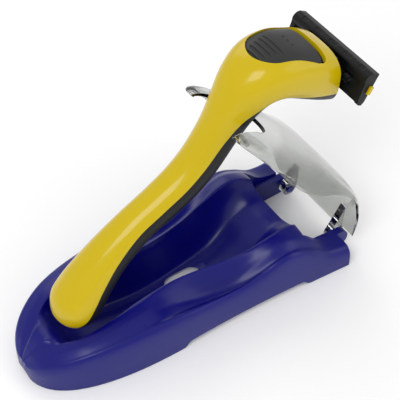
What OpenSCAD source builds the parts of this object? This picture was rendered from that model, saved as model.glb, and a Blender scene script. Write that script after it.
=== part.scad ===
// Wet razor with a swivelling cartridge, leaning on its own travel stand.
// The stand lies along +X with its nose in front; the cover's hinge is at the rear.
// The table is z = 0 and the whole set is symmetrical about y = 0.

/* [Stand] */
// Length of the stand from its nose to its rear corners
case_len = 129; // [124:1:136]
// Half-width of the stand where the round nose ends
nose_half_w = 25; // [23:0.5:28]
// Half-width of the stand at its rear corners
rear_half_w = 29; // [27:0.5:33]
// Length of the round nose
nose_len = 62; // [56:1:68]
// Squareness of the round nose, where 2 is an ellipse
nose_power = 2.5; // [2:0.1:2.8]
// Wall thickness of the stand moulding
stand_wall = 1.8; // [1.4:0.1:2.2]
// Height of the well floor above the table
floor_z = 3; // [2.6:0.1:3.6]
// Depth of the two finger scoops
scoop_depth = 5; // [2:0.5:6]
// Length of the drain slot in the well floor
drain_len = 16; // [10:1:20]
// Width of the drain slot
drain_w = 9; // [6:0.5:10]
// Height of the hand gap under each side wall
lift_gap = 3; // [2:0.5:4]
// Radius of a rubber foot
foot_r = 3; // [2:0.25:3.25]

/* [Cover] */
// Angle that the cover stands open
open_angle = 49; // [46:1:52]
// Wall thickness of the clear cover
cover_wall = 1.3; // [1:0.1:1.6]
// Reach of the cover's horns in front of the hinge
cover_reach = 90.5; // [88:0.5:93]
// Half-width of the notch that the handle lies in
notch_r = 9.5; // [9:0.5:11]
// Distance from the hinge to the bottom of the notch
notch_reach = 68; // [64:1:72]
// Radius of a hinge pin
pin_r = 1.6; // [1.2:0.1:2]
// Length of a hinge pin
pin_len = 4; // [3:0.5:5]
// Radial clearance of the hinge
hinge_gap = 0.06; // [0.03:0.01:0.09]

/* [Handle] */
// Wall thickness of the two handle shells
handle_wall = 1.6; // [1.2:0.1:2]
// Thickness scale of the handle and head
girth = 1; // [0.95:0.01:1.05]

/* [Mechanism] */
// Travel of the release button
button_travel = 1.5; // [1:0.25:2]
// Radius of the pusher rod
rod_r = 1.6; // [1.2:0.1:1.9]
// Outer radius of the yoke's stem
stem_r = 3.4; // [3:0.1:3.8]
// Radial clearance of sliding and turning fits
fit_gap = 0.05; // [0.02:0.01:0.09]
// Wire diameter of the button spring
spring_wire = 0.5; // [0.4:0.1:0.6]

/* [Cartridge] */
// Length of the cartridge frame
cart_len = 41; // [38:0.5:44]
// Height of the cartridge across its face
cart_h = 13; // [12:0.5:14]
// Forward lean of the cartridge face
cart_lean = 11; // [8:1:14]
// Radius of the cartridge pivots
pivot_r = 1; // [0.8:0.1:1.2]
// Width of a blade
blade_w = 2.6; // [2:0.2:3]
// Thickness of a blade
blade_t = 0.2; // [0.15:0.05:0.3]

/* [Hidden] */
$fn = 32;

// The design is drawn for this stand length; its stations stretch with case_len.
design_len = 129;
stretch = case_len / design_len;
hinge_x = case_len + 2.5;
hinge_z = 5;
// Half the length of the set, so that the frame's origin lies under its middle.
origin_x = 69.6 + (case_len - design_len) / 2;

// ---------- Smooth curves and lofts ----------
// A cubic curve through [x, value] points, with each slope taken from the neighbours.
function span_at(p, x, i = 0) = (i >= len(p) - 2 || x < p[i + 1][0]) ? i : span_at(p, x, i + 1);
function slope_at(p, i) = let(a = max(i - 1, 0), b = min(i + 1, len(p) - 1))
    (p[b][1] - p[a][1]) / (p[b][0] - p[a][0]);
function curve(p, x) = let(i = span_at(p, x), h = p[i + 1][0] - p[i][0], t = (x - p[i][0]) / h)
    (2 * t^3 - 3 * t^2 + 1) * p[i][1] + (t^3 - 2 * t^2 + t) * h * slope_at(p, i)
    + (3 * t^2 - 2 * t^3) * p[i + 1][1] + (t^3 - t^2) * h * slope_at(p, i + 1);
function power(v, e) = sign(v) * pow(abs(v), e);

// A closed solid through rings that have the same number of points. Each end is closed with
// strips between point j and its partner counted from the ring's other end.
function end_strips(base, m) = [for (j = [0:floor(m / 2) - 2])
        each [[base + j + 1, base + j, base + m - 1 - j],
              [base + m - 2 - j, base + j + 1, base + m - 1 - j]]];
function end_tip(base, m) = m % 2 == 0 ? [] : let(h = floor(m / 2)) [[base + h, base + h - 1, base + h + 1]];
function flipped(faces) = [for (f = faces) [f[2], f[1], f[0]]];
module loft(rings) {
    n = len(rings);
    m = len(rings[0]);
    polyhedron(
        points = [for (ring = rings) for (p = ring) p],
        faces = concat(
            end_strips(0, m), end_tip(0, m),
            flipped(end_strips((n - 1) * m, m)), flipped(end_tip((n - 1) * m, m)),
            [for (i = [0:n - 2]) for (j = [0:m - 1])
                each [[(i + 1) * m + j, i * m + j, (i + 1) * m + (j + 1) % m],
                      [i * m + j, i * m + (j + 1) % m, (i + 1) * m + (j + 1) % m]]]));
}

// ---------- Stand ----------
rim_line = [[0, 7], [4, 11.5], [10, 15], [20, 18], [40, 19.5], [54, 19], [68, 17], [80, 16.5],
            [90, 18.5], [97, 21], [104, 21.5], [112, 17.5], [119, 12.5], [125, 10.5], [129, 10]];
crest_line = [[0, 7.2], [4, 12.2], [10, 16.4], [20, 19.6], [40, 21.5], [60, 21.5], [80, 21.5],
              [90, 23], [98, 25], [105, 25], [112, 22], [119, 14], [125, 11], [129, 10.2]];
floor_line = [[0, 7.4], [4, 12.6], [8, 16.5], [12, 16.8], [15, 14.8], [18.5, 11.2],
              [23, 8.3], [30, 6.6], [38, 5], [50, 3.2], [70, 3], [84, 3.4],
              [92, 7], [100, 13.5], [106, 17], [112, 17.5], [129, 17.5]];
edge_line = [[0, 0.6], [4, 3], [12, 8], [20, 11.6], [30, 12.2], [45, 10.5], [60, 10], [75, 12],
             [88, 14.5], [100, 15.5], [108, 15], [112, 14.5], [129, 14.5]];
bed_line = [[0, 0.3], [4, 1.5], [12, 4.5], [20, 6.5], [40, 6], [60, 6], [80, 8.5], [95, 9],
            [106, 7.5], [112, 7], [129, 7]];
scoop_line = [[0, 0], [40, 0], [48, 0.15], [58, 0.7], [70, 1], [82, 0.75], [92, 0.15], [98, 0], [129, 0]];
ridge_x = 112 * stretch;
arm_y = 19.5;

// Half-width of the stand's outline at x.
function half_w(x) = x < nose_len
    ? nose_half_w * pow(1 - pow((nose_len - x) / nose_len, nose_power), 1 / nose_power)
    : nose_half_w + (rear_half_w - nose_half_w) * (1 - cos(90 * (x - nose_len) / (case_len - nose_len)));

// One side of the stand's section at x, from the middle of the well to the top of the side wall.
function half_section(x) = let(
        u = x / stretch,
        w = half_w(x),
        edge = min(curve(edge_line, u), 0.62 * w),
        bed = min(curve(bed_line, u), 0.6 * edge),
        rim = curve(rim_line, u),
        crest = curve(crest_line, u),
        bottom_z = max(curve(floor_line, u) + floor_z - 3, floor_z),
        low = min(bottom_z, crest),
        scoop = scoop_depth * curve(scoop_line, u),
        deck = w - edge)
    [[0, bottom_z], [bed * 0.6, bottom_z], [bed, bottom_z + 0.06 * (crest - low)],
     [bed + 0.55 * (edge - bed), low + 0.4 * (crest - low)],
     [bed + 0.88 * (edge - bed), low + 0.85 * (crest - low)], [edge, crest],
     [edge + 0.3 * deck, crest * 0.75 + rim * 0.25 + 0.4 - scoop * 0.7],
     [edge + 0.5 * deck, (crest + rim) / 2 + 0.4 - scoop],
     [edge + 0.72 * deck, rim + 0.5 - scoop * 0.6],
     [w - 0.14 * deck, rim], [w * 0.985, rim - min(2.2, rim / 3)], [w, rim * 0.45], [w, rim_bottom]];
// How far each point moves sideways and down to reach the inner face, as a share of the wall.
inner_shift = [0, 0.2, 0.5, 0.8, 0.55, 0.4, 0.1, 0, -0.2, -0.6, -1.1, -1.05, -1];
inner_drop = [1, 1, 1, 0.9, 0.9, 1, 1, 1, 1, 1, 0.7, 0.35, 0];
function inner_half(half, w, solid) = let(t = stand_wall * min(1, w / 12), last = len(half) - 1)
    [for (i = [0:last]) solid ? [0.92 * w * i / last, rim_bottom + relief * (1 - pow(i / last, 2))]
        : [half[i][0] + inner_shift[i] * t, max(half[i][1] - inner_drop[i] * t, rim_bottom)]];
function stand_ring(x) = let(
        half = half_section(x),
        inner = inner_half(half, half_w(x), x < hollow_from || x > ridge_x - stand_wall - 0.1),
        n = len(half))
    concat([for (i = [n - 1:-1:1]) [x, -half[i][0], half[i][1]]],
           [for (p = half) [x, p[0], p[1]]],
           [for (i = [n - 1:-1:1]) [x, inner[i][0], inner[i][1]]],
           [for (p = inner) [x, -p[0], p[1]]]);
rim_bottom = 0.4;
// Height of the shallow arch under the solid nose and the solid rear arms.
relief = 0.5;
hollow_from = 3;
stand_stations = [0.3, 1, 2.9, 3.8, 5.5, 8, 11, 14, 17, 20, 24, 28, 33, 38, 44, 50, 56, 62, 68, 74, 80,
                  86, 91, 96, 100, 104, 107, 110, 112, 114.5, 118, 122, 126, 129];
// Pocket that cores out each rear arm from below, up to the web in front of the rear foot.
pocket_w = 5.5;
module arm_pocket(side) {
    from_x = ridge_x + 3;
    to_x = rear_foot[0] * stretch - foot_r - post_wall;
    translate([from_x, side > 0 ? arm_y + 2 : -arm_y - 2 - pocket_w, -1])
        cube([to_x - from_x, pocket_w, 6]);
}
module hand_gap(side) {
    translate([0, side > 0 ? 60 : -arm_y + 2, 0]) rotate([90, 0, 0]) linear_extrude(62 - arm_y)
        polygon([[54 * stretch, -1], [57 * stretch, lift_gap], [108 * stretch, lift_gap],
                 [110 * stretch, lift_gap - 1], [111 * stretch, -1]]);
}
ear_r = 4;
ear_t = 3;
module hinge_ear(side) {
    // Ear plate on the arm, with the pin standing inwards from it.
    translate([0, side * (arm_y - ear_t / 2), 0]) rotate([90, 0, 0])
        translate([0, 0, -ear_t / 2]) linear_extrude(ear_t)
        union() {
            translate([hinge_x, hinge_z]) circle(ear_r);
            polygon([[ridge_x - 0.5, 1], [hinge_x, hinge_z - ear_r], [hinge_x, hinge_z + ear_r],
                     [ridge_x + 8, hinge_z + ear_r + 1.5], [ridge_x - 0.5, hinge_z + ear_r + 2.5]]);
        }
    translate([hinge_x, side * (arm_y - ear_t + 0.2), hinge_z]) rotate([side * 90, 0, 0])
        cylinder(h = pin_len + 0.2, r = pin_r);
}
foot_h = 2.4;
front_foot = [24, 13.6];
rear_foot = [125, 24];
post_wall = 1.2;
// Post under the deck that a front foot is set into.
module foot_post(side) {
    translate([front_foot[0], side * front_foot[1], rim_bottom])
        cylinder(h = 11.5, r = foot_r + post_wall);
}
module foot_seats() {
    for (at = [front_foot, [rear_foot[0] * stretch, rear_foot[1]]]) for (side = [-1, 1])
        translate([at[0], side * at[1], -1]) cylinder(h = foot_h + 1, r = foot_r + fit_gap);
}
module stand_shell() {
    placed() color("#1c1c78") difference() {
        union() {
            difference() {
                loft([for (u = stand_stations) stand_ring(u * stretch)]);
                translate([ridge_x, -arm_y, -2]) cube([case_len, 2 * arm_y, 40]);
            }
            for (side = [-1, 1]) {
                hinge_ear(side);
                foot_post(side);
            }
        }
        for (side = [-1, 1]) {
            hand_gap(side);
            arm_pocket(side);
        }
        foot_seats();
        translate([70 * stretch, 0, -1]) linear_extrude(floor_z + 5) drain_outline();
    }
}
module drain_outline() {
    run = (drain_len - drain_w) / 2;
    square([2 * run, drain_w], center = true);
    for (side = [-1, 1]) translate([side * run, 0]) circle(drain_w / 2);
}
module foot(x, y) {
    placed() color("#15151c") translate([x, y, 0]) cylinder(h = foot_h, r = foot_r);
}
module foot_front_left() {
    foot(front_foot[0], front_foot[1]);
}
module foot_front_right() {
    foot(front_foot[0], -front_foot[1]);
}
module foot_rear_left() {
    foot(rear_foot[0] * stretch, rear_foot[1]);
}
module foot_rear_right() {
    foot(rear_foot[0] * stretch, -rear_foot[1]);
}

// ---------- Cover, drawn shut and turned open about the hinge ----------
cover_rim = [[37, 20.6], [44, 20.6], [54, 20], [68, 18.2], [80, 17.8], [90, 20], [97, 22.6], [104, 23.6],
             [112, 22.8], [118, 20], [124, 16.8], [130, 11.4], [133, 7.6]];
cover_top = [[37, 21.4], [40, 23.4], [46, 25], [56, 26.4], [70, 27.3], [84, 27.8], [98, 27.8],
             [108, 27], [116, 24.2], [124, 19.2], [130, 13.2], [133, 9.2]];
cover_half = [[37, 15.4], [40, 18.4], [46, 21], [56, 22.8], [70, 23.6], [84, 24.2], [98, 25],
              [112, 25], [124, 23.8], [133, 22.6]];
cover_stations = [37, 38.2, 40, 43, 47, 52, 58, 64, 70, 77, 84, 90, 96, 102, 108, 113, 118, 123, 127,
                  130, 133];
function cover_x(u) = hinge_x - cover_reach + (u - 38) * (cover_reach / 93.5);
function cover_ring(u, off, floor_drop) = let(
        w = curve(cover_half, u) - off, rim = curve(cover_rim, u), top = curve(cover_top, u) - off)
    concat([[cover_x(u), -w, rim - floor_drop]],
        [for (a = [180:-12:0]) [cover_x(u), w * power(cos(a), 0.55), rim + (top - rim) * power(sin(a), 0.8)]],
        [[cover_x(u), w, rim - floor_drop]]);
module cover_shut() {
    difference() {
        union() {
            difference() {
                loft([for (u = cover_stations) cover_ring(u, 0, 0.01)]);
                loft([for (u = [for (u = cover_stations) if (u > 37) u])
                      cover_ring(u == 38.2 ? 38.4 : (u == 133 ? 133.5 : u), cover_wall, 3)]);
            }
            for (side = [-1, 1]) cover_hook(side);
            rear_flange();
        }
        notch();
        for (side = [-1, 1]) translate([hinge_x, 0, hinge_z]) rotate([side * 90, 0, 0]) {
            translate([0, 0, arm_y - ear_t - pin_len - 1]) cylinder(h = pin_len + 2, r = pin_r + hinge_gap);
            // Room for the ear as the cover turns.
            translate([0, 0, hook_outer]) cylinder(h = 20, r = ear_r + 0.5);
        }
    }
}
hook_gap = 0.3;
hook_outer = arm_y - ear_t - hook_gap;
hook_t = 3;
hook_r = 3.2;
module cover_hook(side) {
    y = hook_outer - hook_t / 2;
    translate([0, side * y, 0]) rotate([90, 0, 0]) translate([0, 0, -hook_t / 2])
        linear_extrude(hook_t) union() {
            translate([hinge_x, hinge_z]) circle(hook_r);
            polygon([[hinge_x - hook_r, hinge_z], [hinge_x + hook_r * 0.7, hinge_z + 1.5],
                     [cover_x(132.8), curve(cover_top, 132.8) - 1],
                     [cover_x(128), curve(cover_top, 128) - 0.8], [cover_x(125), curve(cover_top, 125) - 1]]);
        }
}
flange_len = 4;
flange_half_w = hook_outer;
module rear_flange() {
    translate([hinge_x, 0, hinge_z]) rotate([0, -open_angle, 0])
        translate([3, -flange_half_w, -1]) cube([flange_len, 2 * flange_half_w, 1.2]);
}
module notch() {
    x = hinge_x - notch_reach - notch_r;
    linear_extrude(60) union() {
        translate([x, 0]) circle(notch_r);
        polygon([[x - 40, -notch_r - 8], [x, -notch_r], [x, notch_r], [x - 40, notch_r + 8]]);
    }
}
module clear_cover() {
    placed() color("#c8c8c8", 0.5) translate([hinge_x, 0, hinge_z]) rotate([0, open_angle, 0])
        translate([-hinge_x, 0, -hinge_z]) cover_shut();
}

// ---------- Handle ----------
// Stations: [middle x, middle z, slope angle, reach up, reach down, half-width, corner power, parting].
handle_rows = [
    [18.4, 17.5, 50, 0.8, 0.8, 0.9, 2, 0], [19.4, 18.8, 50, 5, 4.8, 5.4, 2, 0],
    [21.2, 21, 50, 7.6, 7.4, 8.2, 2, 0], [24, 24.6, 51, 9.2, 8.8, 9.8, 2.1, 0],
    [28, 29.6, 50, 9, 8.6, 9.7, 2.1, 0.04], [32, 34.2, 47, 8.5, 8.2, 9, 2.1, 0.1],
    [40, 41.7, 39, 7.6, 7.2, 7.9, 2.1, 0.25], [50, 48.8, 31, 7, 6.8, 7.1, 2.1, 0.38],
    [60, 53.9, 28, 6.9, 6.8, 7, 2.1, 0.4], [70, 59.4, 33, 7.1, 6.9, 7.2, 2.1, 0.4],
    [78, 66.1, 45, 7.2, 7, 7.3, 2.1, 0.38], [86, 76, 53, 7.6, 7, 7.6, 2.1, 0.3],
    [92, 84, 50, 9, 6.8, 8.7, 2.2, 0.1], [97.5, 90, 37, 10.8, 6.2, 10.7, 2.3, -0.3],
    [103, 93.6, 15, 11, 8, 12.4, 2.5, -0.66], [110, 94, -5, 10.2, 10, 13.2, 2.6, -0.7],
    [118, 91, -12, 9.8, 11.2, 13.5, 2.7, -0.62], [124, 88, -9, 9.8, 12, 13.3, 2.8, -0.5],
    [128.2, 85.7, -4, 9.8, 12.4, 12.8, 2.8, -0.44]];
row_steps = 2;
function row_at(t) = let(i = min(floor(t), len(handle_rows) - 2))
    [for (k = [0:7]) curve([for (j = [0:len(handle_rows) - 1]) [j, handle_rows[j][k]]], t)];
function handle_ring(row, off, from_a, to_a, steps) = let(
        up = row[3] * girth - off, down = row[4] * girth - off, w = row[5] * girth - off, e = 2 / row[6])
    [for (i = [0:steps]) let(a = from_a + (to_a - from_a) * i / steps,
            y = w * power(cos(a), e), n = (sin(a) > 0 ? up : down) * power(sin(a), e))
        [row[0] - n * sin(row[2]), y, row[1] + n * cos(row[2])]];
function parting_angle(row) = asin(power(row[7], row[6] / 2));
function handle_rows_from(first) = [for (t = [first:1 / row_steps:len(handle_rows) - 1]) row_at(t)];
module upper_solid() {
    loft([for (row = handle_rows_from(0)) let(a = parting_angle(row)) handle_ring(row, 0, 180 - a, a, 16)]);
}
module lower_solid() {
    loft([for (row = handle_rows_from(0)) let(a = parting_angle(row)) handle_ring(row, 0, a, -180 - a, 16)]);
}
module handle_hollow() {
    rows = handle_rows_from(5);
    last = rows[len(rows) - 1];
    past = [last[0] + 3, last[1] - 0.5, last[2], last[3], last[4], last[5], last[6], last[7]];
    loft([for (row = concat(rows, [past])) handle_ring(row, handle_wall, 180, -165, 23)]);
}
// The head's own frame: origin in the mouth, +X straight out of it, +Z up through the button.
head_x = 128.5;
head_z = 86.5;
head_dip = 18.7;
module head_frame() {
    translate([head_x, 0, head_z]) rotate([0, head_dip, 0]) children();
}
button_back = -33.5;
button_front = -10;
button_half = 11;
button_gap = 0.3;
// Outline of the button seen from above: a wide front edge that narrows to a round back.
module button_outline(grow) {
    offset(r = grow) hull() {
        for (side = [-1, 1]) translate([button_front - 2, side * (button_half - 2)]) circle(2);
        translate([button_back + 8.5, 0]) circle(8.5);
    }
}
module handle_shell() {
    placed() color("#d8b400") difference() {
        upper_solid();
        handle_hollow();
        // Opening for the button, long enough for its travel.
        head_frame() for (move = [0, button_travel]) translate([move, 0, 4])
            linear_extrude(20) button_outline(button_gap);
    }
}
module grip_underside() {
    placed() color("#1c1c1c") difference() {
        lower_solid();
        handle_hollow();
    }
}

// ---------- Mechanism, in the head's frame ----------
chassis_back = -28.5;
chassis_front = -5;
chassis_half_w = 6;
chassis_half_h = 5.2;
rib_half_w = 12.1;
leg_x = -22;
leg_w = 4;
leg_l = 4;
module chassis() {
    placed() color("#2a2a2a") head_frame() difference() {
        union() {
            translate([chassis_back, -chassis_half_w, -chassis_half_h])
                cube([chassis_front - chassis_back, 2 * chassis_half_w, 2 * chassis_half_h]);
            // Cross rib that seats the chassis between the two shells.
            translate([chassis_front - 4, -rib_half_w, -2]) cube([3, 2 * rib_half_w, 4]);
        }
        // Bearing for the yoke's stem, and the guide for the pusher rod.
        translate([chassis_front - 9, 0, 0]) rotate([0, 90, 0]) cylinder(h = 12, r = stem_r + fit_gap);
        translate([chassis_back - 1, 0, 0]) rotate([0, 90, 0]) cylinder(h = 30, r = rod_r + fit_gap);
        // Spring chamber, and the slot for the button's leg.
        translate([spring_from, 0, 0]) rotate([0, 90, 0]) cylinder(h = spring_len, r = spring_r + 0.6);
        translate([leg_x - leg_l / 2 - 0.3, -leg_w / 2 - 0.3, -0.01])
            cube([leg_l + button_travel + 0.8, leg_w + 0.6, 8]);
        // Groove that holds the neck ring.
        translate([ring_x - ring_t / 2 - fit_gap, -ring_r - 0.2, -ring_r - 0.2])
            cube([ring_t + 2 * fit_gap, 2 * ring_r + 0.4, ring_r + chassis_half_h + 2]);
    }
}
ring_x = chassis_front - 6;
ring_t = 0.8;
ring_r = 4.4;
module neck_ring() {
    placed() color("#b8bcc0") head_frame() translate([ring_x, 0, 0]) rotate([0, 90, 0]) difference() {
        cylinder(h = ring_t, r = ring_r, center = true);
        cylinder(h = ring_t + 1, r = groove_r + fit_gap, center = true);
    }
}
groove_r = stem_r - 0.7;
stem_back = chassis_front - 8.5;
yoke_face = 0.8;
module yoke() {
    placed() color("#121212") head_frame() difference() {
        union() {
            difference() {
                translate([stem_back, 0, 0]) rotate([0, 90, 0])
                    cylinder(h = -stem_back + yoke_face, r = stem_r);
                translate([ring_x, 0, 0]) rotate([0, 90, 0]) difference() {
                    cylinder(h = ring_t + 2 * fit_gap, r = stem_r + 1, center = true);
                    cylinder(h = ring_t + 1, r = groove_r, center = true);
                }
            }
            // Head plate, with two side cheeks and the dock that the connector slides over.
            translate([-1.2, -7.5, -5.5]) cube([2, 15, 11]);
            for (side = [-1, 1]) translate([-4.5, side * 6.2 - 0.8, -4]) cube([5, 1.6, 8]);
            translate([yoke_face - 0.1, -4, -2.2]) cube([dock_len, 8, 4.4]);
        }
        translate([stem_back - 1, 0, 0]) rotate([0, 90, 0])
            cylinder(h = -stem_back + dock_len + 4, r = rod_r + fit_gap);
    }
}
dock_len = 1.4;
rod_back = -27;
module pusher_rod() {
    placed() color("#e8e8e8") head_frame() {
        translate([rod_back, 0, 0]) rotate([0, 90, 0])
            cylinder(h = yoke_face + dock_len - 0.4 - rod_back, r = rod_r);
        translate([collar_x, 0, 0]) rotate([0, 90, 0]) cylinder(h = 1, r = spring_r);
    }
}
spring_r = 2.5;
spring_from = -19;
spring_len = 5;
collar_x = spring_from + 0.2;
module button_spring() {
    placed() color("#c0c4c8") head_frame()
        coil(collar_x + 1.05, spring_from + spring_len - 0.05, spring_r - 0.1, spring_wire, 3);
}
// A helix of round wire along +X, from one face to the other.
module coil(from_x, to_x, outer_r, wire, turns) {
    r = outer_r - wire / 2;
    steps = 12 * turns;
    lead = (to_x - from_x - wire) / turns;
    tilt = atan(lead / (2 * PI * r));
    loft([for (i = [0:steps]) let(a = 360 * turns * i / steps,
            c = [from_x + wire / 2 + lead * turns * i / steps, r * cos(a), r * sin(a)])
        [for (k = [0:5]) let(q = 60 * k, d = wire / 2)
            c + d * cos(q) * [0, cos(a), sin(a)]
              + d * sin(q) * [cos(tilt), sin(a) * sin(tilt), -cos(a) * sin(tilt)]]]);
}
// The button's curved plate follows the head a little below its surface.
button_drop = 0.5;
button_t = 1.4;
module head_shape(off, last_a) {
    rotate([0, -head_dip, 0]) translate([-head_x, 0, -head_z])
        loft([for (row = handle_rows_from(12)) handle_ring(row, off, 180, last_a, 16)]);
}
module release_button() {
    placed() color("#323432") head_frame() intersection() {
        head_shape(button_drop, 0);
        union() {
            difference() {
                translate([0, 0, 4]) linear_extrude(16) button_outline(-0.05);
                head_shape(button_drop + button_t, 0);
            }
            difference() {
                translate([leg_x - leg_l / 2, -leg_w / 2, 0.05]) cube([leg_l, leg_w, 14]);
                translate([rod_back, 0, 0]) rotate([0, 90, 0]) cylinder(h = 20, r = rod_r);
            }
        }
    }
}
module centring_spring() {
    placed() color("#c0c4c8") head_frame() for (side = [-1, 1])
        translate([-4.4, side * 7.6 - 0.15, -3]) cube([3, 0.3, 6]);
}

// ---------- Cartridge ----------
pivot_x = 4;
pivot_y = 10.5;
ear_w = 1.6;
pivot_ear_r = 1.55;
module connector() {
    placed() color("#101010") head_frame() difference() {
        union() {
            translate([yoke_face + 0.1, -6, -3.6]) cube([dock_len + 0.5, 12, 7.2]);
            translate([yoke_face + 0.1, -pivot_y, -2.4]) cube([1.6, 2 * pivot_y, 4.8]);
            for (side = [-1, 1]) translate([0, side * (pivot_y - ear_w / 2), 0]) rotate([90, 0, 0])
                translate([0, 0, -ear_w / 2]) linear_extrude(ear_w) union() {
                    translate([pivot_x, 0]) circle(pivot_ear_r);
                    translate([yoke_face + 0.1, -pivot_ear_r])
                        square([pivot_x - yoke_face - 0.1, 2 * pivot_ear_r]);
                    translate([yoke_face + 0.9, 0]) circle(r = 2.6, $fn = 6);
                }
        }
        translate([0, -4 - fit_gap, -2.2 - fit_gap])
            cube([yoke_face + dock_len, 8 + 2 * fit_gap, 4.4 + 2 * fit_gap]);
        for (side = [-1, 1]) translate([pivot_x, side * (pivot_y - ear_w / 2), 0]) rotate([90, 0, 0])
            cylinder(h = ear_w + 1, r = pivot_r, center = true);
    }
}
module pivot_pin(side) {
    placed() color("#c0c4c8") head_frame() translate([pivot_x, side * (pivot_y - ear_w), 0])
        rotate([-side * 90, 0, 0]) cylinder(h = ear_w + 2.4, r = pivot_r);
}
module pivot_pin_left() {
    pivot_pin(1);
}
module pivot_pin_right() {
    pivot_pin(-1);
}
module return_leaf() {
    placed() color("#c0c4c8") head_frame() for (side = [-1, 1])
        translate([yoke_face + 1.75, side * 7.4 - 1, -2.2]) cube([0.25, 2, 4.4]);
}
face_x = 7.8;
// The cartridge's own frame: its face is x = 0, +Z runs up the face to the strip.
module cart_frame() {
    head_frame() translate([face_x, 0, 0]) rotate([0, cart_lean, 0]) children();
}
module on_pivot_axis() {
    head_frame() translate([pivot_x, 0, 0]) rotate([90, 0, 0]) children();
}
end_t = 2;
boss_r = 1.7;
boss_w = 2.4;
half_h = cart_h / 2;
window_pitch = 7.8;
module cartridge_frame() {
    placed() color("#141414") difference() {
        union() {
            cart_frame() {
                // Rounded back rail that carries the rinse windows.
                translate([0, cart_len / 2, 0]) rotate([90, 0, 0]) linear_extrude(cart_len) rail_outline();
                // End blocks.
                for (side = [-1, 1]) translate([0, side * (cart_len / 2 - end_t / 2), 0]) rotate([90, 0, 0])
                    translate([0, 0, -end_t / 2]) linear_extrude(end_t) end_outline();
                // Guard rail along the bottom.
                translate([-2.2, -cart_len / 2 + 1, -half_h + 0.2]) cube([1.8, cart_len - 2, 1.4]);
                // Floor behind the blades.
                translate([-3.1, -cart_len / 2 + 1, -half_h + 1.3]) cube([0.9, cart_len - 2, cart_h - 4.6]);
            }
            on_pivot_axis() for (side = [-1, 1]) translate([0, 0, side * (pivot_y + 1.6)])
                cylinder(h = boss_w, r = boss_r, center = true);
        }
        on_pivot_axis() for (side = [-1, 1]) translate([0, 0, side * (pivot_y + 1.6)])
            cylinder(h = boss_w + 0.6, r = pivot_r + fit_gap, center = true);
        // Opening in the back that the connector's ears reach through.
        cart_frame() translate([-9, -pivot_y - 0.35, -half_h + 2.4])
            cube([6.85, 2 * pivot_y + 0.7, cart_h - 4.6]);
        cart_frame() for (k = [-2:2]) translate([-6.5, k * window_pitch, half_h - 1.9])
            rotate([0, 55, 0]) window(abs(k) == 2 ? 3.6 : 5);
    }
}
module window(len_y) {
    translate([-0.6, 0, -3]) linear_extrude(12) union() {
        square([1.8, len_y - 1.8], center = true);
        for (side = [-1, 1]) translate([0, side * (len_y - 1.8) / 2]) circle(0.9);
    }
}
module rail_outline() {
    difference() {
        union() {
            translate([-2.9, half_h - 2.6]) circle(2.6);
            translate([-2.9, half_h - 1.2]) square([2.6, 1.2]);
            translate([-5, half_h - 4.6]) square([1.6, 2.4]);
        }
        translate([-2.4, half_h - 2.8]) circle(1.5);
        translate([-2.3, half_h - 6.6]) square([4, 5.4]);
    }
}
module end_outline() {
    polygon([[-0.3, half_h - 0.4], [-1.5, half_h], [-4.4, half_h - 0.6], [-5.2, half_h - 3], [-4.6, 0],
             [-3.8, -half_h + 2], [-2.4, -half_h], [-0.8, -half_h], [-0.2, -half_h + 1.5]]);
}
module cartridge_cap() {
    placed() color("#26282a") cart_frame() difference() {
        translate([-2.2, -cart_len / 2 + end_t, half_h - 4.4]) cube([1.9, cart_len - 2 * end_t, 3]);
        translate([-0.9, -cart_len / 2, half_h - 4]) cube([1, cart_len, 2.2]);
    }
}
module lubricating_strip() {
    placed() color("#a8d4e8") cart_frame() translate([-0.85, -cart_len / 2 + end_t + 0.1, half_h - 3.95])
        cube([0.95, cart_len - 2 * end_t - 0.2, 2.1]);
}
carrier_t = 0.5;
module blade_carrier() {
    placed() color("#d8b400") cart_frame() {
        translate([-1.9, -cart_len / 2 + end_t + 0.05, -half_h + 1.7])
            cube([carrier_t, cart_len - 2 * end_t - 0.1, cart_h - 6.2]);
        for (side = [-1, 1])
            translate([-1.9, side * (cart_len / 2 + 0.45) - 0.4, -1.6]) cube([1.5, 0.8, 3.2]);
    }
}
blade_len = cart_len - 2 * end_t - 0.6;
// A blade slopes back from its edge, so that it takes up the same depth at any width.
blade_depth = 0.95;
blade_tilt = asin(blade_depth / blade_w);
front_blade_z = -half_h + 2.6;
rear_blade_z = -half_h + 5.2;
module blade(low_z) {
    placed() color("#d8dcde") cart_frame() translate([-0.12, -blade_len / 2, low_z])
        rotate([0, -blade_tilt, 0]) translate([-blade_t, 0, 0]) cube([blade_t, blade_len, blade_w]);
}
module blade_front() {
    blade(front_blade_z);
}
module blade_rear() {
    blade(rear_blade_z);
}
module blade_spacer() {
    placed() color("#8a8d90") cart_frame()
        translate([-1.37, -blade_len / 2, front_blade_z + blade_w * cos(blade_tilt) + 0.12])
        cube([0.4, blade_len, 0.5]);
}
wire_r = 0.12;
wire_pitch = 2.2;
module guard_wires() {
    count = floor((blade_len - 2) / wire_pitch);
    placed() color("#d0d4d8") cart_frame() for (k = [0:count])
        translate([0.12, (k - count / 2) * wire_pitch, -half_h + 1.7])
        cylinder(h = cart_h - 6.4, r = wire_r, $fn = 16);
}
module guard_strip() {
    placed() color("#30343a") cart_frame() for (k = [0:2])
        translate([-0.39, -cart_len / 2 + end_t + 0.1, -half_h + 0.25 + k * 0.45])
        cube([0.5, cart_len - 2 * end_t - 0.2, 0.3]);
}

// Moves a sub-part so that the frame's origin lies under the middle of the set.
module placed() {
    translate([-origin_x, 0, 0]) children();
}

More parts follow.
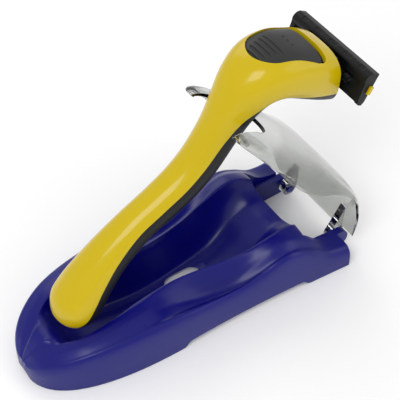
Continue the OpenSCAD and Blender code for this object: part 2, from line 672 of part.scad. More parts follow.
stand_shell();
foot_front_left();
foot_front_right();
foot_rear_left();
foot_rear_right();
clear_cover();
handle_shell();
grip_underside();
chassis();
neck_ring();
release_button();
pusher_rod();
button_spring();
yoke();
centring_spring();
connector();
pivot_pin_left();
pivot_pin_right();
return_leaf();
cartridge_frame();
cartridge_cap();
lubricating_strip();
blade_carrier();
blade_front();
blade_rear();
blade_spacer();
guard_wires();
guard_strip();
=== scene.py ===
import math

import bmesh
import bpy
import numpy as np
from mathutils import Matrix


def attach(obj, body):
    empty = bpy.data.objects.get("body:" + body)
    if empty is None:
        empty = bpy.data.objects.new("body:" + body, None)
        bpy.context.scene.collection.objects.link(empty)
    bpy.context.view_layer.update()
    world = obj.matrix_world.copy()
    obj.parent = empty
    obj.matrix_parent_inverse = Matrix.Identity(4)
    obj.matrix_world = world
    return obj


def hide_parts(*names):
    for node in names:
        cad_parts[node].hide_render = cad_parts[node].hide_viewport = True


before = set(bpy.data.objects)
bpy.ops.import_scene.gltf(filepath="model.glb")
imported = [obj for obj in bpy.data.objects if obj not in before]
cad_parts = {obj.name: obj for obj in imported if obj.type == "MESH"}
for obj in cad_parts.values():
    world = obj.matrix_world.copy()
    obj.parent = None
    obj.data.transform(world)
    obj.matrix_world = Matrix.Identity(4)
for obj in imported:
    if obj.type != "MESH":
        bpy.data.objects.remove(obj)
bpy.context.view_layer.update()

ORIGIN_X = 69.6  # mm from the stand's nose to the frame's origin
STAND_WALL = 1.8
NOSE_HALF_W, REAR_HALF_W, NOSE_LEN, NOSE_POWER, CASE_LEN = 25.0, 29.0, 62.0, 2.5, 129.0
RIDGE_X, ARM_Y = 112.0, 19.5
RIM_BOTTOM, LIFT_GAP, SCOOP_DEPTH = 0.4, 3.0, 5.0
RIM = [[0, 7], [4, 11.5], [10, 15], [20, 18], [40, 19.5], [54, 19], [68, 17], [80, 16.5],
       [90, 18.5], [97, 21], [104, 21.5], [112, 17.5], [119, 12.5], [125, 10.5], [129, 10]]
CREST = [[0, 7.2], [4, 12.2], [10, 16.4], [20, 19.6], [40, 21.5], [60, 21.5], [80, 21.5],
         [90, 23], [98, 25], [105, 25], [112, 22], [119, 14], [125, 11], [129, 10.2]]
FLOOR = [[0, 7.4], [4, 12.6], [8, 16.5], [12, 16.8], [15, 14.8], [18.5, 11.2], [23, 8.3], [30, 6.6],
         [38, 5], [50, 3.2], [70, 3], [84, 3.4], [92, 7], [100, 13.5], [106, 17], [112, 17.5], [129, 17.5]]
EDGE = [[0, 0.6], [4, 3], [12, 8], [20, 11.6], [30, 12.2], [45, 10.5], [60, 10], [75, 12],
        [88, 14.5], [100, 15.5], [108, 15], [112, 14.5], [129, 14.5]]
BED = [[0, 0.3], [4, 1.5], [12, 4.5], [20, 6.5], [40, 6], [60, 6], [80, 8.5], [95, 9],
       [106, 7.5], [112, 7], [129, 7]]
SCOOP = [[0, 0], [40, 0], [48, 0.15], [58, 0.7], [70, 1], [82, 0.75], [92, 0.15], [98, 0], [129, 0]]
INNER_SHIFT = np.array([0, 0.2, 0.5, 0.8, 0.55, 0.4, 0.1, 0, -0.2, -0.6, -1.1, -1.05, -1])
INNER_DROP = np.array([1, 1, 1, 0.9, 0.9, 1, 1, 1, 1, 1, 0.7, 0.35, 0])


def curve(points, x):
    """Values at x of the smooth curve through [x, value, ...] rows: a cubic in each span, whose slope at a
    row is the difference of its two neighbours' values over the difference of their x."""
    p = np.asarray(points, float)
    x = np.asarray(x, float)
    n = len(p)
    low, high = np.maximum(np.arange(n) - 1, 0), np.minimum(np.arange(n) + 1, n - 1)
    slope = (p[high, 1:] - p[low, 1:]) / (p[high, :1] - p[low, :1])
    i = np.clip(np.searchsorted(p[:, 0], x, side="right") - 1, 0, n - 2)
    h = (p[i + 1, 0] - p[i, 0])[..., None]
    t = (x - p[i, 0])[..., None] / h
    out = ((2 * t**3 - 3 * t**2 + 1) * p[i, 1:] + (t**3 - 2 * t**2 + t) * h * slope[i]
           + (3 * t**2 - 2 * t**3) * p[i + 1, 1:] + (t**3 - t**2) * h * slope[i + 1])
    return out[..., 0] if p.shape[1] == 2 else out


def refined(section, count):
    """Each row of section is a run of points; the result has count points along the smooth curve through
    them, evenly spaced in the points' own numbering."""
    s = np.linspace(0, section.shape[1] - 1, count)
    rows = [curve(np.column_stack([np.arange(section.shape[1]), run]), s) for run in section]
    return np.array(rows)


def stand_half_width(x):
    """A quarter superellipse over the nose, whose exponent is the nose's squareness, then a widening by one
    minus the cosine of a quarter turn."""
    back_share = np.clip((NOSE_LEN - x) / NOSE_LEN, 0, 1) ** NOSE_POWER
    nose = NOSE_HALF_W * (1 - back_share) ** (1 / NOSE_POWER)
    turn = np.pi / 2 * (x - NOSE_LEN) / (CASE_LEN - NOSE_LEN)
    return np.where(x < NOSE_LEN, nose, NOSE_HALF_W + (REAR_HALF_W - NOSE_HALF_W) * (1 - np.cos(turn)))


def stand_halves(x):
    """(outer, inner) runs of (y, z) points for each x, from the middle of the well out over the shoulder
    and the scooped deck and down the side wall; the inner run is the outer one moved in by the wall."""
    w, rim, crest = stand_half_width(x), curve(RIM, x), curve(CREST, x)
    edge = np.minimum(curve(EDGE, x), 0.62 * w)
    bed = np.minimum(curve(BED, x), 0.6 * edge)
    bottom = np.maximum(curve(FLOOR, x), 3)
    low = np.minimum(bottom, crest)
    scoop = SCOOP_DEPTH * curve(SCOOP, x)
    deck = w - edge
    lift = LIFT_GAP * np.clip((x - 54) / 3, 0, 1) * np.clip((111 - x) / 3, 0, 1)
    foot = RIM_BOTTOM + np.maximum(lift - RIM_BOTTOM, 0)
    ys = [0 * x, bed * 0.6, bed, bed + 0.55 * (edge - bed), bed + 0.88 * (edge - bed), edge,
          edge + 0.3 * deck, edge + 0.5 * deck, edge + 0.72 * deck, w - 0.14 * deck, w * 0.985, w, w]
    zs = [bottom, bottom, bottom + 0.06 * (crest - low), low + 0.4 * (crest - low),
          low + 0.85 * (crest - low), crest, crest * 0.75 + rim * 0.25 + 0.4 - scoop * 0.7,
          (crest + rim) / 2 + 0.4 - scoop, rim + 0.5 - scoop * 0.6, rim, rim - np.minimum(2.2, rim / 3),
          np.maximum(rim * 0.45, foot + 0.5), foot]
    outer = np.stack([np.stack(ys, 1), np.stack(zs, 1)], 2)
    wall = (STAND_WALL * np.minimum(1, w / 12))[:, None]
    inner = np.stack([outer[:, :, 0] + INNER_SHIFT * wall,
                      np.maximum(outer[:, :, 1] - INNER_DROP * wall, foot[:, None])], 2)
    solid = (x < 3) | (x > RIDGE_X - STAND_WALL - 0.1)
    j = np.linspace(0, 1, outer.shape[1])
    plug = np.stack([0.92 * w[:, None] * j, foot[:, None] + 0.5 * (1 - j**2)], 2)
    inner[solid] = plug[solid]
    outer, inner = refined(outer, 73), refined(inner, 73)
    outer[:, :, 0] = np.minimum(outer[:, :, 0], w[:, None])
    return outer, inner


def linked(name, points, faces):
    """An object whose points are given in mm from the stand's nose, with its faces turned outwards."""
    mesh = bpy.data.meshes.new(name)
    points = (np.asarray(points, float).reshape(-1, 3) - [ORIGIN_X, 0, 0]) / 1000
    mesh.from_pydata(points.tolist(), [], faces)
    work = bmesh.new()
    work.from_mesh(mesh)
    bmesh.ops.remove_doubles(work, verts=work.verts, dist=1e-7)
    bmesh.ops.recalc_face_normals(work, faces=work.faces)
    work.to_mesh(mesh)
    work.free()
    obj = bpy.data.objects.new(name, mesh)
    bpy.context.scene.collection.objects.link(obj)
    return obj


def loft(name, rings):
    """A closed solid through rings of equal point counts, ruled from each ring to the next."""
    rings = np.asarray(rings, float)
    n, m = rings.shape[:2]
    i, j = np.meshgrid(np.arange(n - 1), np.arange(m), indexing="ij")
    k = (j + 1) % m
    quads = np.stack([i * m + j, i * m + k, (i + 1) * m + k, (i + 1) * m + j], 2).reshape(-1, 4)
    ends = [list(range(m)), list(range((n - 1) * m, n * m))]
    return linked(name, rings, quads.tolist() + ends)


def prism(name, outline, low, high, along):
    """The outline's (a, b) points pushed along one axis, 'y' or 'z', from low to high."""
    outline = np.asarray(outline, float)
    flat = np.zeros((2, len(outline), 3))
    flat[:, :, 0] = outline[:, 0]
    flat[:, :, 2 if along == "y" else 1] = outline[:, 1]
    flat[:, :, 1 if along == "y" else 2] = np.array([low, high])[:, None]
    return loft(name, flat)


def carve(obj, *tools, operation="DIFFERENCE"):
    """obj with each tool cut out of it, joined to it or kept in common; the tools are used up."""
    for tool in tools:
        cut = obj.modifiers.new("cut", "BOOLEAN")
        cut.operation, cut.object, cut.solver = operation, tool, "MANIFOLD"
        bpy.context.view_layer.update()
        whole = bpy.data.meshes.new_from_object(obj.evaluated_get(bpy.context.evaluated_depsgraph_get()))
        obj.modifiers.clear()
        old, obj.data = obj.data, whole
        bpy.data.meshes.remove(old)
        bpy.data.meshes.remove(tool.data)
    obj.data.materials.clear()
    return obj


def shaded(obj, sharp_deg):
    """Smooth shading, except over edges where the faces turn by more than sharp_deg."""
    obj.data.polygons.foreach_set("use_smooth", np.ones(len(obj.data.polygons), bool))
    obj.data.set_sharp_from_angle(angle=math.radians(sharp_deg))
    return obj


def linear(code):
    """An sRGB hex colour as linear red, green, blue and 1: a channel is divided by 12.92 up to 0.04045,
    and above that it is the power 2.4 of (channel + 0.055) / 1.055."""
    c = np.array([int(code[k:k + 2], 16) for k in (1, 3, 5)]) / 255
    return (*np.where(c <= 0.04045, c / 12.92, ((c + 0.055) / 1.055) ** 2.4).tolist(), 1.0)


def add(tree, kind, inputs=None, **settings):
    """One shader node. A socket given as an input is linked to it, and anything else is its constant."""
    made = tree.nodes.new("ShaderNode" + kind)
    for key, value in settings.items():
        setattr(made, key, value)
    for key, value in (inputs or {}).items():
        if isinstance(value, bpy.types.NodeSocket):
            tree.links.new(value, made.inputs[key])
        else:
            made.inputs[key].default_value = value
    return made


def finish_of(name, inputs, grain_mm, depth_mm, rough=None):
    """A Principled material with a fine surface grain of that size and depth; rough is a (low, high) pair
    between which the roughness drifts in patches about 6 mm wide."""
    mat = bpy.data.materials.new(name)
    mat.use_nodes = True
    tree = mat.node_tree
    tree.nodes.clear()
    place = add(tree, "TexCoord").outputs["Object"]
    grain = add(tree, "TexNoise", {"Vector": place, "Scale": 1000 / grain_mm, "Detail": 3.0})
    bump = add(tree, "Bump", {"Height": grain.outputs["Fac"], "Distance": depth_mm / 1000, "Strength": 1.0})
    shader = add(tree, "BsdfPrincipled", {**inputs, "Normal": bump.outputs["Normal"]})
    if rough:
        patch = add(tree, "TexNoise", {"Vector": place, "Scale": 1000 / 6, "Detail": 2.0})
        drift = add(tree, "MapRange", {"Value": patch.outputs["Fac"], "To Min": rough[0], "To Max": rough[1]})
        tree.links.new(drift.outputs["Result"], shader.inputs["Roughness"])
    add(tree, "OutputMaterial", {"Surface": shader.outputs["BSDF"]})
    return mat


stand_x = np.concatenate([0.3 + 11.7 * np.linspace(0, 1, 26) ** 2, np.linspace(12.8, 110, 92),
                          np.linspace(110.2, 129, 22)])
outer, inner = stand_halves(stand_x)
mirrored = np.array([-1, 1])
section = np.concatenate([outer[:, :0:-1] * mirrored, outer, inner[:, :0:-1], inner * mirrored], 1)
stand_rings = np.concatenate([np.broadcast_to(stand_x[:, None, None], section.shape[:2] + (1,)), section], 2)
stand = loft("stand_moulding", stand_rings)
turns = np.linspace(-math.pi / 2, math.pi / 2, 25)
slot_x, slot_run, slot_r = 70, 3.5, 4.5
slot_outline = np.concatenate([
    np.column_stack([slot_x + slot_run + slot_r * np.cos(turns), slot_r * np.sin(turns)]),
    np.column_stack([slot_x - slot_run - slot_r * np.cos(turns), -slot_r * np.sin(turns)])])
bay_outline = [[RIDGE_X, -ARM_Y], [CASE_LEN + 9, -ARM_Y], [CASE_LEN + 9, ARM_Y], [RIDGE_X, ARM_Y]]
carve(stand, prism("bay", bay_outline, -2, 40, "z"), prism("slot", slot_outline, -1, 9, "z"))
shaded(stand, 40)
blue = finish_of("translucent_blue_styrene_moulded", {
    "Base Color": linear("#0a0c90"), "Transmission Weight": 0.5, "IOR": 1.49,
    "Specular IOR Level": 0.15, "Coat Weight": 0.05, "Coat Roughness": 0.2}, 0.8, 0.004, (0.24, 0.36))
stand.data.materials.append(blue)
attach(stand, "stand")
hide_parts("stand_shell")

# ---------- Hinge ears ----------
# Two flat ears moulded on the stand's rear arms, each with a round pin standing inwards from it. The
# cover's hooks snap over the pins, so the cover turns on them.
HINGE_X, HINGE_Z = 131.5, 5.0
EAR_R, EAR_T, PIN_R, PIN_LEN = 4.0, 3.0, 1.6, 4.0
around = np.linspace(-math.pi / 2, math.pi / 2, 33)
ear_outline = np.concatenate([
    [[RIDGE_X - 0.5, 1.0]],
    np.column_stack([HINGE_X + EAR_R * np.cos(around), HINGE_Z + EAR_R * np.sin(around)]),
    [[RIDGE_X + 8, HINGE_Z + EAR_R + 1.5], [RIDGE_X - 0.5, HINGE_Z + EAR_R + 2.5]]])
pin_turn = np.linspace(0, 2 * math.pi, 40, endpoint=False)
pin_outline = np.column_stack([HINGE_X + PIN_R * np.cos(pin_turn), HINGE_Z + PIN_R * np.sin(pin_turn)])
for name, side in (("left", 1), ("right", -1)):
    ends = sorted([side * (ARM_Y - EAR_T), side * ARM_Y])
    ear = prism("hinge_ear_" + name, ear_outline, ends[0], ends[1], "y")
    reach = sorted([side * (ARM_Y - EAR_T - PIN_LEN), side * (ARM_Y - EAR_T + 0.2)])
    carve(ear, prism("pin", pin_outline, reach[0], reach[1], "y"), operation="UNION")
    shaded(ear, 35)
    ear.data.materials.append(blue)
    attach(ear, "stand")
    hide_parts("stand_shell")

# ---------- Feet ----------
# Four rubber discs pressed into seats under the stand. They keep it from sliding on a wet shelf.
rubber = finish_of("black_rubber_moulded", {"Base Color": linear("#1b1b1e"), "Roughness": 0.8},
                   0.5, 0.01, (0.7, 0.85))
for name in ("foot_front_left", "foot_front_right", "foot_rear_left", "foot_rear_right"):
    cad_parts[name].data.materials.clear()
    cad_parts[name].data.materials.append(rubber)

# ---------- Clear cover ----------
# The clear styrene cover, 1.3 mm thick, drawn shut and turned open about its hinge. Its round notch
# holds the razor's neck, and two hooks at its rear edge run on the stand's pins.
OPEN_DEG, COVER_WALL, COVER_REACH, DRAWN_REACH = 49.0, 1.3, 90.5, 93.5
NOTCH_R, NOTCH_REACH, HINGE_GAP = 9.5, 68.0, 0.06
COVER_RIM = [[37, 20.6], [44, 20.6], [54, 20], [68, 18.2], [80, 17.8], [90, 20], [97, 22.6],
             [104, 23.6], [112, 22.8], [118, 20], [124, 16.8], [130, 11.4], [133, 7.6]]
COVER_TOP = [[37, 21.4], [40, 23.4], [46, 25], [56, 26.4], [70, 27.3], [84, 27.8], [98, 27.8],
             [108, 27], [116, 24.2], [124, 19.2], [130, 13.2], [133, 9.2]]
COVER_HALF = [[37, 15.4], [40, 18.4], [46, 21], [56, 22.8], [70, 23.6], [84, 24.2], [98, 25],
              [112, 25], [124, 23.8], [133, 22.6]]


def power(v, e):
    """The power e of v's size, with v's sign."""
    return np.sign(v) * np.abs(v) ** e


def cover_rings(u, place, off, drop):
    """Arches across the cover: half-width times cosine to the 0.55, and rise times sine to the 0.8, closed
    below by two points dropped under the rim."""
    a = np.linspace(math.pi, 0, 91)
    w = (curve(COVER_HALF, u) - off)[:, None]
    rim, top = curve(COVER_RIM, u)[:, None], (curve(COVER_TOP, u) - off)[:, None]
    y = np.concatenate([-w, w * power(np.cos(a), 0.55), w], 1)
    z = np.concatenate([rim - drop, rim + (top - rim) * power(np.sin(a).clip(0), 0.8), rim - drop], 1)
    x = HINGE_X - COVER_REACH + (place - 38) * COVER_REACH / DRAWN_REACH
    x = np.broadcast_to(x[:, None], y.shape)
    return np.stack([x, y, z], 2)


def opened(obj):
    """obj turned about the hinge, from the shut cover's place to the open cover's."""
    n = len(obj.data.vertices)
    co = np.zeros(n * 3)
    obj.data.vertices.foreach_get("co", co)
    co = co.reshape(-1, 3) * 1000 + [ORIGIN_X - HINGE_X, 0, -HINGE_Z]
    c, s = math.cos(math.radians(OPEN_DEG)), math.sin(math.radians(OPEN_DEG))
    turned = np.column_stack([c * co[:, 0] + s * co[:, 2], co[:, 1], c * co[:, 2] - s * co[:, 0]])
    obj.data.vertices.foreach_set("co", ((turned + [HINGE_X - ORIGIN_X, 0, HINGE_Z]) / 1000).ravel())
    obj.data.update()
    return obj


cover_u = np.concatenate([37 + 7 * np.linspace(0, 1, 16) ** 1.5, np.linspace(45, 133, 76)])
cover = loft("clear_cover_moulding", cover_rings(cover_u, cover_u, 0, 0.01))
inside_u = np.concatenate([[38.4], cover_u[cover_u > 38.6]])
inside_place = np.where(inside_u >= 133, 133.5, inside_u)
notch_x = HINGE_X - NOTCH_REACH - NOTCH_R
bend = np.linspace(-math.pi / 2, math.pi / 2, 49)
notch_outline = np.concatenate([
    [[notch_x - 40, -NOTCH_R - 8]],
    np.column_stack([notch_x + NOTCH_R * np.cos(bend), NOTCH_R * np.sin(bend)]),
    [[notch_x - 40, NOTCH_R + 8]]])
carve(cover, loft("inside", cover_rings(inside_u, inside_place, COVER_WALL, 3)),
      prism("notch", notch_outline, 0, 60, "z"))
ear_room = np.column_stack([HINGE_X + (EAR_R + 0.5) * np.cos(pin_turn),
                            HINGE_Z + (EAR_R + 0.5) * np.sin(pin_turn)])
hook_outer = ARM_Y - EAR_T - 0.3
for side in (1, -1):
    ends = sorted([side * hook_outer, side * (hook_outer + 20)])
    carve(cover, prism("ear_room", ear_room, ends[0], ends[1], "y"))
shaded(opened(cover), 38)
clear = finish_of("clear_styrene_moulded", {
    "Base Color": linear("#c8cac6"), "Transmission Weight": 1.0, "IOR": 1.49}, 9.0, 0.012, (0.02, 0.06))
cover.data.materials.append(clear)
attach(cover, "cover")
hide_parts("clear_cover")

# ---------- Cover hooks ----------
# Two hooks moulded at the cover's rear edge, bored for the stand's pins.
HOOK_T, HOOK_R = 3.0, 3.2
bore_outline = np.column_stack([HINGE_X + (PIN_R + HINGE_GAP) * np.cos(pin_turn),
                                HINGE_Z + (PIN_R + HINGE_GAP) * np.sin(pin_turn)])
hook_turn = np.radians(np.linspace(180, 385, 41))
hook_outline = np.concatenate([
    np.column_stack([HINGE_X + HOOK_R * np.cos(hook_turn), HINGE_Z + HOOK_R * np.sin(hook_turn)]),
    [[132.3, float(curve(COVER_TOP, 132.8)) - 1.1], [127.5, float(curve(COVER_TOP, 128)) - 1.5],
     [124.5, float(curve(COVER_TOP, 125)) - 1.5]]])
for name, side in (("left", 1), ("right", -1)):
    ends = sorted([side * (hook_outer - HOOK_T), side * hook_outer])
    hook = prism("cover_hook_" + name, hook_outline, ends[0], ends[1], "y")
    carve(hook, prism("bore", bore_outline, ends[0] - 1, ends[1] + 1, "y"))
    shaded(opened(hook), 35)
    hook.data.materials.append(clear)
    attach(hook, "cover")
    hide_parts("clear_cover")

# ---------- Handle shells ----------
# The handle is two injection mouldings on one chassis: a glossy yellow upper shell and a satin black
# grip below it. They meet along a parting line that swells up the sides of the head.
HANDLE_ROWS = np.array([  # middle x, middle z, slope, reach up, reach down, half-width, corner power, parting
    [18.4, 17.5, 50, 0.8, 0.8, 0.9, 2, 0], [19.4, 18.8, 50, 5, 4.8, 5.4, 2, 0],
    [21.2, 21, 50, 7.6, 7.4, 8.2, 2, 0], [24, 24.6, 51, 9.2, 8.8, 9.8, 2.1, 0],
    [28, 29.6, 50, 9, 8.6, 9.7, 2.1, 0.04], [32, 34.2, 47, 8.5, 8.2, 9, 2.1, 0.1],
    [40, 41.7, 39, 7.6, 7.2, 7.9, 2.1, 0.25], [50, 48.8, 31, 7, 6.8, 7.1, 2.1, 0.38],
    [60, 53.9, 28, 6.9, 6.8, 7, 2.1, 0.4], [70, 59.4, 33, 7.1, 6.9, 7.2, 2.1, 0.4],
    [78, 66.1, 45, 7.2, 7, 7.3, 2.1, 0.38], [86, 76, 53, 7.6, 7, 7.6, 2.1, 0.3],
    [92, 84, 50, 9, 6.8, 8.7, 2.2, 0.1], [97.5, 90, 37, 10.8, 6.2, 10.7, 2.3, -0.3],
    [103, 93.6, 15, 11, 8, 12.4, 2.5, -0.66], [110, 94, -5, 10.2, 10, 13.2, 2.6, -0.7],
    [118, 91, -12, 9.8, 11.2, 13.5, 2.7, -0.62], [124, 88, -9, 9.8, 12, 13.3, 2.8, -0.5],
    [128.2, 85.7, -4, 9.8, 12.4, 12.8, 2.8, -0.44]])
HANDLE_WALL = 1.6
numbered_rows = np.column_stack([np.arange(len(HANDLE_ROWS)), HANDLE_ROWS])


def handle_rings(t, off, from_deg, to_deg, steps):
    """Rings round the handle at row numbers t: half-width times cosine and reach times sine, each to the
    power 2 over the row's corner power, in a plane square to the handle's slope. The angles may be one
    number or one for each row."""
    row = curve(numbered_rows, t)
    share = np.linspace(0, 1, steps + 1)
    first = np.radians(np.broadcast_to(from_deg, t.shape))[:, None]
    last = np.radians(np.broadcast_to(to_deg, t.shape))[:, None]
    a = first + (last - first) * share
    e = 2 / row[:, 6:7]
    up, down, w = row[:, 3:4] - off, row[:, 4:5] - off, row[:, 5:6] - off
    n = np.where(np.sin(a) > 0, up, down) * power(np.sin(a), e)
    slope = np.radians(row[:, 2:3])
    return np.stack([row[:, 0:1] - n * np.sin(slope), w * power(np.cos(a), e),
                     row[:, 1:2] + n * np.cos(slope)], 2)


def parting_deg(t):
    """The angle at which the ring's height is the row's parting share of its reach."""
    row = curve(numbered_rows, t)
    return np.degrees(np.arcsin(power(row[:, 7], row[:, 6] / 2)))


def handle_hollow():
    """The space inside both shells, run 3 mm out through the mouth."""
    t = np.linspace(5, 18, 105)
    rings = handle_rings(t, HANDLE_WALL, 180, -176, 89)
    return loft("hollow", np.concatenate([rings, rings[-1:] + [3, 0, -0.5]]))


HEAD_X, HEAD_Z, HEAD_DIP = 128.5, 86.5, math.radians(18.7)
BUTTON_BACK, BUTTON_FRONT, BUTTON_HALF = -33.5, -10.0, 11.0
BUTTON_TRAVEL, BUTTON_GAP = 1.5, 0.3


def in_head(obj):
    """obj moved from the head's own frame, with its origin in the mouth, to its place."""
    co = np.zeros(len(obj.data.vertices) * 3)
    obj.data.vertices.foreach_get("co", co)
    co = co.reshape(-1, 3) * 1000 + [ORIGIN_X, 0, 0]
    c, s = math.cos(HEAD_DIP), math.sin(HEAD_DIP)
    placed = np.column_stack([HEAD_X + c * co[:, 0] + s * co[:, 2], co[:, 1],
                              HEAD_Z - s * co[:, 0] + c * co[:, 2]])
    obj.data.vertices.foreach_set("co", ((placed - [ORIGIN_X, 0, 0]) / 1000).ravel())
    obj.data.update()
    return obj


def button_outline(grow):
    """The outline of the button seen from above, grown by grow: for each direction, the furthest of three
    circles' rims, which gives their common outline."""
    a = np.linspace(0, 2 * math.pi, 144, endpoint=False)
    way = np.column_stack([np.cos(a), np.sin(a)])
    middles = np.array([[BUTTON_FRONT - 2, BUTTON_HALF - 2], [BUTTON_FRONT - 2, 2 - BUTTON_HALF],
                        [BUTTON_BACK + 8.5, 0]])
    radii = np.array([2, 2, 8.5]) + grow
    best = np.argmax(way @ middles.T + radii, 1)
    return middles[best] + radii[best][:, None] * way


fine_t = np.concatenate([np.linspace(0, 3, 31), np.linspace(3.1, 18, 150)])
split = parting_deg(fine_t)
upper = loft("yellow_handle_shell", handle_rings(fine_t, 0, 180 - split, split, 72))
carve(upper, handle_hollow(),
      *[in_head(prism("opening", button_outline(BUTTON_GAP) + [move, 0], 4, 24, "z"))
        for move in (0, BUTTON_TRAVEL)])
shaded(upper, 38)
yellow = finish_of("yellow_abs_gloss_moulded", {
    "Base Color": linear("#c6ac00"), "Specular IOR Level": 0.2, "Coat Weight": 0.3, "Coat Roughness": 0.06},
    6.0, 0.01, (0.2, 0.3))
upper.data.materials.append(yellow)
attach(upper, "handle")
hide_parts("handle_shell")

lower = loft("black_grip_shell", handle_rings(fine_t, 0, split, -180 - split, 72))
carve(lower, handle_hollow())
shaded(lower, 38)
black = finish_of("black_grip_satin_moulded", {
    "Base Color": linear("#141415"), "Specular IOR Level": 0.25,
    "Coat Weight": 0.05, "Coat Roughness": 0.3}, 0.35, 0.006, (0.4, 0.5))
lower.data.materials.append(black)
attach(lower, "handle")
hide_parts("grip_underside")

# ---------- Release button ----------
# The dark grey thumb button in the top of the head: a curved plate 1.4 mm thick, set 0.55 mm below the
# yellow rim. Five moulded grooves leave four ridges for the thumb. Its square leg drives the pusher rod.
BUTTON_DROP, BUTTON_T = 0.55, 1.4
LEG_OUTLINE, LEG_LOW, LEG_TOP = [[-24, -2], [-20, -2], [-20, 2], [-24, 2]], 1.7, 9.2


def head_solid(name, off):
    """The upper half of the head as a solid, off below its surface."""
    return loft(name, handle_rings(np.linspace(12, 18, 97), off, 180, 0, 72))


GROOVE_R, GROOVE_COUNT = 0.55, 5
GROOVE_ROW, GROOVE_ROW_STEP = 13.92, 0.2  # row number of the rearmost groove, and the step to the next
GROOVE_DEG, GROOVE_DEG_STEP = 14, 2  # half of the angle that the rearmost groove spans, and its growth


def groove(t, half_deg):
    """A round bar laid across the button's skin at row number t and tapered to both ends: a circle of
    points whose radius is the square root of one minus the fourth power of its place along the bar."""
    path = handle_rings(np.array([t]), BUTTON_DROP - 0.05, 90 + half_deg, 90 - half_deg, 48)[0]
    s = np.linspace(-1, 1, 49)
    r = GROOVE_R * np.sqrt(np.clip(1 - s**4, 0.004, 1))
    along = np.gradient(path, axis=0)
    along /= np.linalg.norm(along, axis=1)[:, None]
    slope = math.radians(float(curve(numbered_rows, t)[2]))
    forward = np.array([math.cos(slope), 0, math.sin(slope)])
    q = np.linspace(0, 2 * math.pi, 20, endpoint=False)
    ring = np.cos(q)[None, :, None] * forward + np.sin(q)[None, :, None] * np.cross(forward, along)[:, None]
    return loft("groove", path[:, None] + r[:, None, None] * ring)


button = in_head(prism("grey_release_button", button_outline(-0.05), 4, 20, "z"))
carve(button, head_solid("under_skin", BUTTON_DROP), operation="INTERSECT")
carve(button, head_solid("under_plate", BUTTON_DROP + BUTTON_T),
      *[groove(GROOVE_ROW + GROOVE_ROW_STEP * k, GROOVE_DEG + GROOVE_DEG_STEP * k)
        for k in range(GROOVE_COUNT)])
carve(button, in_head(prism("leg", LEG_OUTLINE, LEG_LOW, LEG_TOP, "z")), operation="UNION")
shaded(button, 35)
grey = finish_of("grey_abs_fine_matt", {
    "Base Color": linear("#2c2e2c"), "Specular IOR Level": 0.3}, 0.3, 0.012, (0.42, 0.52))
button.data.materials.append(grey)
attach(button, "button")
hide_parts("release_button")

# ---------- Button dots ----------
# Three small raised dots moulded in a row on the button, in front of its thumb grip.
DOT_R, DOT_PITCH, DOT_ROW = 0.55, 2.6, 15.35


def dot(name, t, y):
    """A low dome on the button's skin: rings whose radius is a cosine and height a sine."""
    skin = handle_rings(np.array([t]), BUTTON_DROP, 150, 30, 240)[0]
    middle = skin[np.argmin(np.abs(skin[:, 1] - y))]
    rise = np.linspace(-0.5, math.pi / 2 - 0.05, 12)
    q = np.linspace(0, 2 * math.pi, 28, endpoint=False)
    slope = math.radians(float(curve(numbered_rows, t)[2]))
    ahead = np.array([math.cos(slope), 0, math.sin(slope)])
    out = np.array([-math.sin(slope), 0, math.cos(slope)])
    flat = np.cos(q)[:, None] * ahead + np.sin(q)[:, None] * np.array([0, 1, 0])
    return loft(name, middle + DOT_R * (np.cos(rise)[:, None, None] * flat
                                        + 0.6 * np.sin(rise)[:, None, None] * out))


for k, y in enumerate((-DOT_PITCH, 0, DOT_PITCH)):
    dome = shaded(dot(f"button_dot_{k + 1}", DOT_ROW, y), 60)
    dome.data.materials.append(grey)
    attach(dome, "button")

# ---------- Mechanism ----------
# The black acetal chassis, yoke and connector, the white acetal pusher rod, and the steel ring, springs
# and pins. Most of it is hidden in the head; the connector shows behind the cartridge.
acetal = finish_of("black_acetal_gloss_moulded", {"Base Color": linear("#101012"), "Coat Weight": 0.2},
                   1.5, 0.004, (0.18, 0.28))
white = finish_of("natural_acetal_moulded", {"Base Color": linear("#e4e3dc")}, 1.5, 0.004, (0.4, 0.5))
steel = finish_of("spring_steel_drawn", {"Base Color": linear("#b9bcc0"), "Metallic": 1.0},
                  0.15, 0.002, (0.25, 0.38))
for node, mat in {"chassis": acetal, "yoke": acetal, "connector": acetal, "pusher_rod": white,
                  "neck_ring": steel, "button_spring": steel, "centring_spring": steel,
                  "return_leaf": steel, "pivot_pin_left": steel, "pivot_pin_right": steel}.items():
    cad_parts[node].data.materials.clear()
    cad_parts[node].data.materials.append(mat)

# ---------- Cartridge ----------
# The twin-blade cartridge: a satin black moulded frame with rinse windows in its rear rail, a pale blue
# strip, a yellow carrier whose tabs show at both ends, ground blades, guard wires and a rubber guard.
frame_black = finish_of("black_pps_satin_moulded", {
    "Base Color": linear("#121315"), "Specular IOR Level": 0.2}, 0.4, 0.006, (0.34, 0.44))
strip = finish_of("lubricating_strip_pressed", {"Base Color": linear("#b4d8ea"), "Subsurface Weight": 0.2,
                  "Subsurface Scale": 0.001}, 0.7, 0.02, (0.5, 0.65))
blade_steel = finish_of("blade_steel_ground", {"Base Color": linear("#c6c9cc"), "Metallic": 1.0},
                        0.08, 0.0015, (0.2, 0.32))
for node, mat in {"cartridge_frame": frame_black, "cartridge_cap": frame_black, "lubricating_strip": strip,
                  "blade_carrier": frame_black, "blade_front": blade_steel, "blade_rear": blade_steel,
                  "blade_spacer": blade_steel, "guard_wires": blade_steel, "guard_strip": rubber}.items():
    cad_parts[node].data.materials.clear()
    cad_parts[node].data.materials.append(mat)

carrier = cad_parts["blade_carrier"].data
carrier.materials.append(yellow)
tab_y = 0.0201  # m from the middle, past which the carrier shows outside the frame
middles = np.zeros(len(carrier.polygons) * 3)
carrier.polygons.foreach_get("center", middles)
carrier.polygons.foreach_set("material_index", (np.abs(middles[1::3]) > tab_y).astype(int))

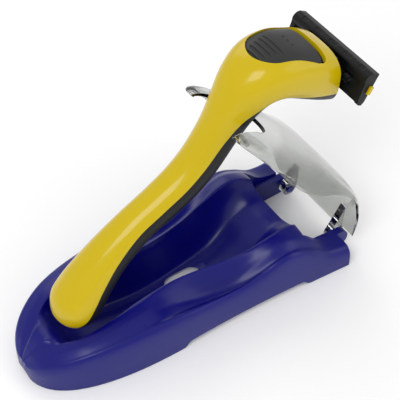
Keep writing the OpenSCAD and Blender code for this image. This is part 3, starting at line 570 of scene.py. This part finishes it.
# ---------- Floor, light and camera ----------
# A plain pale floor under soft studio light, and a camera with a long lens above the stand's nose.
floor_mesh = bpy.data.meshes.new("floor")
floor_mesh.from_pydata([(-3, -3, 0), (3, -3, 0), (3, 3, 0), (-3, 3, 0)], [], [(0, 1, 2, 3)])
ground = bpy.data.objects.new("floor", floor_mesh)
bpy.context.scene.collection.objects.link(ground)
ground.data.materials.append(finish_of("pale_floor", {"Base Color": linear("#fafafa")}, 30, 0.0, (0.6, 0.7)))


def soft_light(name, place, aim, size, watts):
    """A square area light of that size at place, turned to face aim."""
    data = bpy.data.lights.new(name, "AREA")
    data.size, data.energy = size, watts
    lamp = bpy.data.objects.new(name, data)
    bpy.context.scene.collection.objects.link(lamp)
    back = np.array(place, float) - aim
    back /= np.linalg.norm(back)
    right = np.cross([0, 0, 1], back)
    right /= np.linalg.norm(right)
    turn = np.eye(4)
    turn[:3, 0], turn[:3, 1], turn[:3, 2], turn[:3, 3] = right, np.cross(back, right), back, place
    lamp.matrix_world = Matrix(turn.tolist())


soft_light("key", (-0.35, -0.25, 0.6), (0, 0, 0.04), 0.35, 1.9)
soft_light("fill", (0.5, -0.45, 0.4), (0, 0, 0.04), 0.5, 0.8)
soft_light("rear", (0.1, 0.6, 0.5), (0, 0, 0.04), 0.5, 1.0)
world = bpy.data.worlds.new("studio")
world.use_nodes = True
world.node_tree.nodes["Background"].inputs["Color"].default_value = linear("#ffffff")
world.node_tree.nodes["Background"].inputs["Strength"].default_value = 0.71
bpy.context.scene.world = world
bpy.context.scene.view_settings.view_transform = "Standard"

AZIMUTH, ELEVATION, ROLL = math.radians(-33.6), math.radians(48.8), math.radians(-0.8)
DISTANCE, LENS_MM, AIM = 0.400, 99.6, np.array([0.0087, 0, 0.0448])
back = np.array([math.sin(AZIMUTH) * math.cos(ELEVATION), -math.cos(AZIMUTH) * math.cos(ELEVATION),
                 math.sin(ELEVATION)])
level = np.array([math.cos(AZIMUTH), math.sin(AZIMUTH), 0])
upright = np.cross(back, level)
right = math.cos(ROLL) * level + math.sin(ROLL) * upright
above = math.cos(ROLL) * upright - math.sin(ROLL) * level
lens = bpy.data.cameras.new("camera")
lens.lens, lens.sensor_width = LENS_MM, 36
camera = bpy.data.objects.new("camera", lens)
bpy.context.scene.collection.objects.link(camera)
eye = AIM + back * DISTANCE
camera.matrix_world = Matrix([[right[i], above[i], back[i], eye[i]] for i in range(3)] + [[0, 0, 0, 1]])
bpy.context.scene.camera = camera
